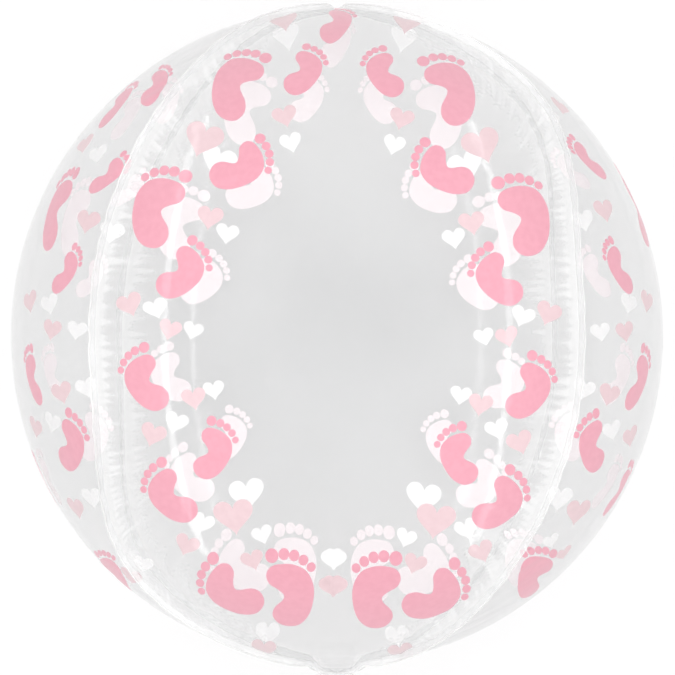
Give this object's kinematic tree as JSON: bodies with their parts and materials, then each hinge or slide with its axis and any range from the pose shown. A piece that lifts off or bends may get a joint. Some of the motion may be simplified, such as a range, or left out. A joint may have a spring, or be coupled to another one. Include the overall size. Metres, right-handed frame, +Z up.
{
  "type": "clear film sphere balloon",
  "caption": "Round clear film party balloon welded from panels along gathered seams, printed with pink baby footprints and hearts, with a flat filling tail; lies on its back panel.",
  "frame": {"origin": "middle of the small flat spot on the back panel, on the surface that the balloon lies on", "axes": "+Z up, out through the front panel; +Y towards the crown, -Y towards the filling tail"},
  "size_m": [0.388, 0.4613, 0.3862],
  "materials": {
    "clear_film": "clear glossy film",
    "welded_film": "doubled and welded film, slightly milky",
    "pink_ink": "flat print on film",
    "pale_pink_ink": "flat print on film"
  },
  "bodies": {
    "root": {"front_panel": "clear_film", "right_panel": "clear_film", "back_panel": "clear_film", "left_panel": "clear_film", "filling_tail": "welded_film"}
  },
  "joints": []
}
